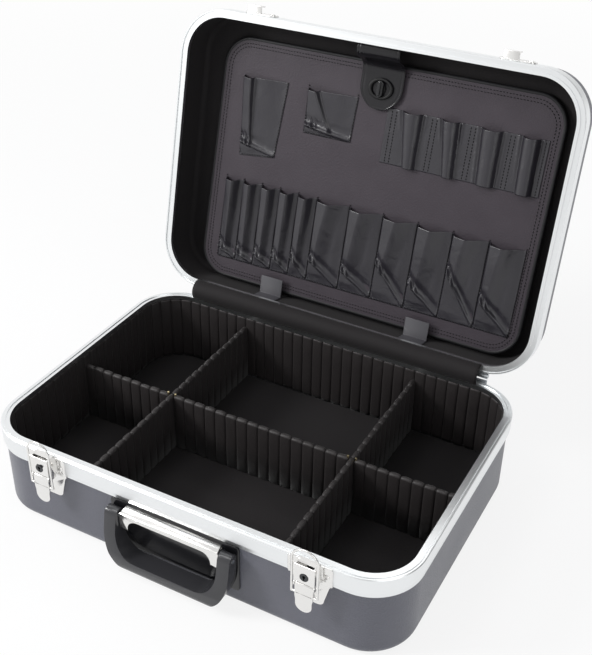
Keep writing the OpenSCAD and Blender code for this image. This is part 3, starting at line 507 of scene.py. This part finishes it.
# Tool pallet: a board in taupe leatherette with a piped edge, held by two grey tabs.
# Two lines of dark thread run inside the piping, all round the board.
# lid_turn opens what is drawn with the lid shut; on_board puts (across, up, out) on the board
hinge_at = Vector((0, hinge_y, hinge_z)) / 1000
lid_turn = (Matrix.Translation(hinge_at) @ Matrix.Rotation(math.radians(-lid_open), 4, "X")
            @ Matrix.Translation(-hinge_at))
on_board = (lid_turn @ Matrix.Translation((0.005, 0.1495, 0.1283))
            @ Matrix.Rotation(math.radians(178), 4, "X"))

taupe, tree, shader = finish("taupe_leatherette", "#453f45", 0.5, Specular_IOR_Level=0.3)
place = add(tree, "ShaderNodeTexCoord")
# the grain's cells are 0.8 mm, drawn 2 mm wide so that they show
cells = add(tree, "ShaderNodeTexVoronoi", [("Vector", place.outputs["Object"]), ("Scale", 480.0)])
blotch = add(tree, "ShaderNodeTexNoise", [("Vector", place.outputs["Object"]), ("Scale", 30.0),
                                          ("Detail", 5.0)])
tone = add(tree, "ShaderNodeMix", [("Factor", blotch.outputs["Fac"]), ("A", linear("#3a343a")),
                                   ("B", linear("#464046"))], data_type="RGBA")
tree.links.new(tone.outputs["Result"], shader.inputs["Base Color"])
rise = add(tree, "ShaderNodeBump", [("Height", cells.outputs["Distance"]), ("Strength", 0.35),
                                    ("Distance", 0.0004)])
tree.links.new(rise.outputs[0], shader.inputs["Normal"])
paint(["pallet_board"], taupe)

# soft coated cloth with a wet sheen on its folds
hide, tree, shader = finish("charcoal_leatherette", "#2a282e", 0.3, Specular_IOR_Level=0.6)
place = add(tree, "ShaderNodeTexCoord")
# the grain's cells are 0.6 mm, drawn 1.5 mm wide so that they show
cells = add(tree, "ShaderNodeTexVoronoi", [("Vector", place.outputs["Object"]), ("Scale", 650.0)])
crumple = add(tree, "ShaderNodeTexNoise", [("Vector", place.outputs["Object"]), ("Scale", 55.0),
                                           ("Detail", 3.0), ("Distortion", 1.2)])
fine = add(tree, "ShaderNodeBump", [("Height", cells.outputs["Distance"]), ("Strength", 0.2),
                                    ("Distance", 0.0003)])
rise = add(tree, "ShaderNodeBump", [("Height", crumple.outputs["Fac"]), ("Strength", 0.3),
                                    ("Distance", 0.002), ("Normal", fine.outputs[0])])
tree.links.new(rise.outputs[0], shader.inputs["Normal"])
gloss = add(tree, "ShaderNodeMapRange", [("Value", crumple.outputs["Fac"]), ("To Min", 0.26),
                                         ("To Max", 0.4)])
tree.links.new(gloss.outputs[0], shader.inputs["Roughness"])
# the same cloth in black, dull where it is stretched over the cord of the piping
dark_hide, tree, shader = finish("black_piping", "#1b1b1d", 0.5, Specular_IOR_Level=0.3)
place = add(tree, "ShaderNodeTexCoord")
cells = add(tree, "ShaderNodeTexVoronoi", [("Vector", place.outputs["Object"]), ("Scale", 650.0)])
rise = add(tree, "ShaderNodeBump", [("Height", cells.outputs["Distance"]), ("Strength", 0.3),
                                    ("Distance", 0.0003)])
tree.links.new(rise.outputs[0], shader.inputs["Normal"])
paint(["pallet_piping"], dark_hide)

# calendered sheet with a hazy face
sheet_grey, tree, shader = finish("grey_pvc_sheet", "#4b4a4e", 0.3)
place = add(tree, "ShaderNodeTexCoord")
haze = add(tree, "ShaderNodeTexNoise", [("Vector", place.outputs["Object"]), ("Scale", 160.0)])
gloss = add(tree, "ShaderNodeMapRange", [("Value", haze.outputs["Fac"]), ("To Min", 0.3),
                                         ("To Max", 0.5)])
tree.links.new(gloss.outputs[0], shader.inputs["Roughness"])
pressed(["pallet_tab_left", "pallet_tab_right"], 0.4, sheet_grey, "lid")

# twisted thread, dull black
thread, tree, shader = finish("polyester_thread", "#0d0d0e", 0.6, Specular_IOR_Level=0.2)
place = add(tree, "ShaderNodeTexCoord")
twist = add(tree, "ShaderNodeTexNoise", [("Vector", place.outputs["Object"]), ("Scale", 1500.0)])
rise = add(tree, "ShaderNodeBump", [("Height", twist.outputs["Fac"]), ("Strength", 0.3),
                                    ("Distance", 0.0002)])
tree.links.new(rise.outputs[0], shader.inputs["Normal"])

bpy.ops.object.select_all(action="DESELECT")
bpy.ops.mesh.primitive_uv_sphere_add(segments=6, ring_count=4, radius=1)
one = bpy.context.object
# a stitch is 1 mm wide and 2.2 mm long
stitch_points = [Vector((v.co.x * 0.5, v.co.y * 0.5, v.co.z * 1.1)) for v in one.data.vertices]
stitch_faces = [list(f.vertices) for f in one.data.polygons]
bpy.data.objects.remove(one)


def sew(name, lines, place, pitch=3.5):
    """Rows of stitches along lines of points in mm, each stitch sunk a little in the sheet."""
    points, faces = [], []
    for line in lines:
        line = [Vector(p) for p in line]
        left = pitch / 2
        for start, end in zip(line, line[1:]):
            step = end - start
            run = step.length
            turn = step.to_track_quat("Z", "Y").to_matrix()
            while left <= run:
                spot = start + step * (left / run)
                base = len(points)
                points += [(spot + turn @ p) / 1000 for p in stitch_points]
                faces += [[base + i for i in f] for f in stitch_faces]
                left += pitch
            left -= run
    mesh = bpy.data.meshes.new(name)
    mesh.from_pydata(points, [], faces)
    mesh.transform(place)
    mesh.materials.append(thread)
    obj = bpy.data.objects.new(name, mesh)
    bpy.context.scene.collection.objects.link(obj)
    bpy.ops.object.select_all(action="DESELECT")
    obj.select_set(True)
    bpy.context.view_layer.objects.active = obj
    bpy.ops.object.shade_smooth()
    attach(obj, "lid")
    return obj


def round_path(half_x, v0, v1, bend, w):
    """A rounded rectangle on the board, from v0 to v1 up it and w out of it."""
    mid, half_y = (v0 + v1) / 2, (v1 - v0) / 2
    path = []
    for cx, cy, first in ((1, 1, 0), (-1, 1, 90), (-1, -1, 180), (1, -1, 270)):
        for k in range(9):
            a = math.radians(first + 90 * k / 8)
            path.append((cx * (half_x - bend) + bend * math.cos(a),
                         mid + cy * (half_y - bend) + bend * math.sin(a), w))
    return path + path[:1]


sew("edge_stitching", [round_path(192.4, 7.6, 274.4, 26.5, 0.15),
                       round_path(188.8, 11.2, 270.8, 23.0, 0.15)], on_board)


# Pockets: soft leatherette sewn to the board along the sides and the foot of each pocket.
# Each has more cloth than board, so it bulges at the mouth and folds on the slant at its foot.
hide_t = 0.7


def pocket(name, foot, mouth, down, up, rise, crest_at, slant, fall, tuck, fold, flare, seed,
           skew=0.0):
    """foot and mouth are the sewn edges; crest_at, slant, fall and tuck shape the pleat."""
    own = random.Random(seed)
    a, b, c = (own.uniform(0, 6.28) for _ in range(3))
    tall = up - down
    wide = mouth[1] - mouth[0]

    def pocket_point(s, t):
        x0 = foot[0] + (mouth[0] - foot[0]) * t
        x1 = foot[1] + (mouth[1] - foot[1]) * t
        # the pleat climbs from one seam to its crest and falls off to the other
        top = crest_at + slant * (1 - t) + 0.03 * math.sin(3 * t + a)
        if s < top:
            bulge = 0.4 * s / top + 0.6 * ease(s, 0, min(top, 3.6 / wide))
        else:
            bulge = (1 - (1 - tuck) * ease(s, top, top + fall)
                     - tuck * ease(s, min(top + fall, 0.7), 1))
        full = 0.9 + rise * (0.32 + 0.68 * max(0.0, t) ** 0.8) * bulge
        # a fold runs on the slant over the foot, with a lip above it and a knot at its start
        line = fold * max(0.0, 1 - s) ** 1.08
        off = (t - line) * tall * 0.75
        above = ease(off, -0.5, 0.7)
        lip = (3.2 * math.exp(-(((off - 1.9) / 1.7) ** 2))
               - 2.2 * math.exp(-(((off - 7) / 3.6) ** 2))) * (1 - 0.55 * s)
        knot = math.exp(-(((s - 0.2) * wide / 5) ** 2) - ((off - 2) / 5) ** 2)
        full += 2.2 * knot * math.sin(s * wide * 0.9 + off * 0.7 + a)
        under = 0.9 + flare * ease(1 - s, 0.1, 0.8) * ease(t, 0, 0.12)
        w = under + (full + lip - under) * above
        # the seams hold the sheet down on the board
        edge = ease(min(s, 1 - s) * wide, 0.2, 1.9) * ease(t * tall, 0.3, 2.2)
        w = 0.75 + (w - 0.75) * edge
        w += 0.3 * edge * math.sin(6 * s + 9 * t + b) * math.sin(5 * t - 4 * s + c)
        return (x0 + (x1 - x0) * s,
                down + tall * t - 0.22 * rise * bulge * t * t - skew * (1 - s) * (1 - t), w)

    columns = max(28, round(wide / 0.7))
    obj = cloth(name, columns, round(tall / 0.9), pocket_point, None, hide)
    thicken(obj, hide_t)
    obj.data.transform(on_board)
    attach(obj, "lid")
    return obj


seams = []


def seam(u0, v0, u1, v1):
    """A straight seam on the board, sewn with the pockets' thread further down."""
    seams.append([(u0, v0, 1.0), (u1, v1, 1.0)])


narrow, wide_pitch, left_edge, row_low, row_high = 23.9, 40.9, -178.0, 24.0, 121.0
folds = [0.14, 0.12, 0.16, 0.2, 0.26]
for i in range(5):
    x = left_edge + i * narrow
    edges = (x + 0.3, x + narrow - 0.3)
    made = pocket("narrow_pocket_%d" % (i + 1), edges, edges, row_low, row_high, 11, 0.5, -0.1, 0.32,
                  0.12, folds[i], 1.2, 20 + i)
    seam(x + 0.2, row_low + 1, x + 0.2, row_high + 2)
    seam(x + 1.5, row_low + 0.9, x + narrow - 1, row_low + 0.9)
    if i == 0:
        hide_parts("pockets_narrow")
start = left_edge + 5 * narrow
folds = [0.29, 0.26, 0.47, 0.33, 0.6, 0.36]
flares = [2.2, 1.6, 0.9, 3.0, 0.9, 3.2]
for i in range(6):
    x = start + i * wide_pitch
    edges = (x + 0.3, x + wide_pitch - 0.3)
    made = pocket("wide_pocket_%d" % (i + 1), edges, edges, row_low, row_high, 11, 0.42, -0.3, 0.45,
                  0.22, folds[i], flares[i], 40 + i)
    seam(x + 0.2, row_low + 1, x + 0.2, row_high + 2)
    seam(x + 1.5, row_low + 0.9, x + wide_pitch - 1, row_low + 0.9)
    if i == 0:
        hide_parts("pockets_wide")
x = start + 6 * wide_pitch
seam(x, row_low + 1, x, row_high + 2)

tall_pocket = pocket("tall_pocket", (-165, -120), (-171, -114), 154, 240, 11, 0.27, 0.0, 0.05, 0.36,
                     0.17, 2.6, 7, skew=5)
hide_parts("pocket_tall")
seam(-164.6, 151, -170.4, 240)
seam(-120.6, 155, -114.8, 240)
seam(-163, 150.5, -122, 155)
short_pocket = pocket("short_pocket", (-88, -30), (-89, -28), 190, 240, 10.5, 0.22, 0.38, 0.07,
                      0.42, 0.16, 1.6, 9)
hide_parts("pocket_short")
seam(-87.6, 191, -88.6, 243)
seam(-30.4, 191, -28.6, 243)
seam(-86, 191, -32, 191)

# Tool loops: one strip of the same leatherette sewn down between four open tunnels.
# The tunnels narrow downward, and the strip puckers on the slant between its seams.
# each tunnel's middle at its mouth and foot, and its half widths there
tunnels = [(37, 42, 11.5, 7.2), (80, 87, 9.5, 6.4), (125.5, 128, 11.5, 9.6), (167.5, 169.5, 9.6, 8.6)]


loops_w, loops_h = 178, 59


def loop_point(s, t):
    u = 8 + loops_w * s
    v = 177 + loops_h * t
    w = 0.75
    for mouth, foot, mouth_half, foot_half in tunnels:
        middle = foot + (mouth - foot) * t
        half = foot_half + (mouth_half - foot_half) * t
        x = abs(u - middle) / half
        if x < 1:
            w = 0.75 + (8.2 + 1.2 * t) * (1 - x**2.4) ** 0.55
            v -= 1.2 * t * (1 - x * x)
        elif x < 1.9:
            w = max(w, 0.75 + 0.9 * math.exp(-(((x - 1.35) / 0.16) ** 2)) * math.sin(3 * t + middle))
    return u, v, w


loops = cloth("tool_loop_strip", 260, 64, loop_point, None, hide)
thicken(loops, hide_t)
loops.data.transform(on_board)
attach(loops, "lid")
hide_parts("tool_loops")
for u in (13.5, 18.5, 59.5, 64.5, 102.5, 107.5, 145.5, 150, 182.5):
    seam(u, 178, u, 235.5)
sew("pocket_stitching", seams, on_board, pitch=3.3)

# Retaining strap: a leatherette strip from the lid's front wall, arched over the pallet's edge.
# Its round end has an oval eyelet that slips over the turn button.
# the strap's middle line in y and z, from the lid's wall to its end, with the lid shut
strap_line = [(-153.0, 121.0), (-153.0, 114.6), (-151.2, 110.9), (-146.8, 109.2), (-141.2, 109.9),
              (-136.9, 113.6), (-134.4, 119.4), (-132.2, 125.8), (-127.6, 131.4), (-119.5, 133.6),
              (-110, 133.5), (-100, 132.9), (-90, 132.4), (-81.9, 131.9)]
belt, tree, shader = finish("black_strap_leatherette", "#1c1b1e", 0.24, Specular_IOR_Level=0.35)
place = add(tree, "ShaderNodeTexCoord")
# the grain's cells are 0.6 mm, drawn 1.5 mm wide so that they show
cells = add(tree, "ShaderNodeTexVoronoi", [("Vector", place.outputs["Object"]), ("Scale", 650.0)])
rise = add(tree, "ShaderNodeBump", [("Height", cells.outputs["Distance"]), ("Strength", 0.2),
                                    ("Distance", 0.0003)])
tree.links.new(rise.outputs[0], shader.inputs["Normal"])


strap_half, round_from = 24.6, -106.5


def strap_point(s, t):
    # a smooth curve through the points of strap_line
    k = t * (len(strap_line) - 1)
    i = min(int(k), len(strap_line) - 2)
    f = k - i
    p = [Vector(strap_line[max(0, min(len(strap_line) - 1, i + j))]) for j in (-1, 0, 1, 2)]
    y, z = (p[1] * 2 + (p[2] - p[0]) * f + (p[0] * 2 - p[1] * 5 + p[2] * 4 - p[3]) * f * f
            + (p[1] * 3 - p[0] - p[2] * 3 + p[3]) * f**3) / 2
    half = strap_half
    if y > round_from:
        half *= math.sqrt(max(0.0004, 1 - ((y - round_from) / strap_half) ** 2))
    x = (2 * s - 1) * half
    # a pressed line and a rolled edge follow the outline
    inset = min(half - abs(x), max(0.0, -81.8 - y))
    z += 0.28 * math.exp(-(((inset - 3.2) / 0.7) ** 2)) + 0.5 * (1 - ease(inset, 0, 1.4))
    return 2.5 - x, y, z


strap = cloth("strap", 60, 130, strap_point, None, belt, thick=1.4)
strap.data.transform(lid_turn)
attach(strap, "lid")
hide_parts("pallet_strap")

# Turn button: a moulded eyelet on the strap, and a winged knob that turns on its plate.
# The knob is glossy black ABS, and the plate and the eyelet are matt.
matt_black, tree, shader = finish("matt_abs", "#0f0f10", 0.5, Specular_IOR_Level=0.3)
place = add(tree, "ShaderNodeTexCoord")
grain = add(tree, "ShaderNodeTexNoise", [("Vector", place.outputs["Object"]), ("Scale", 700.0)])
rise = add(tree, "ShaderNodeBump", [("Height", grain.outputs["Fac"]), ("Strength", 0.25),
                                    ("Distance", 0.0003)])
tree.links.new(rise.outputs[0], shader.inputs["Normal"])
paint(["button_plate"], matt_black)
pressed(["turn_button"], 0.5, gloss_black, "button", segments=3)
bpy.ops.object.select_all(action="DESELECT")
bpy.ops.mesh.primitive_torus_add(major_segments=48, minor_segments=10, major_radius=0.0098,
                                 minor_radius=0.0016)
eyelet = bpy.context.object
eyelet.name = eyelet.data.name = "eyelet"
for vertex in eyelet.data.vertices:
    vertex.co.x *= 1.25
    vertex.co.z = 0.0062 + vertex.co.z * 0.55
bpy.ops.object.shade_smooth()
eyelet.data.transform(on_board @ Matrix.Translation((-0.0025, 0.254, 0)))
eyelet.data.materials.append(matt_black)
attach(eyelet, "lid")
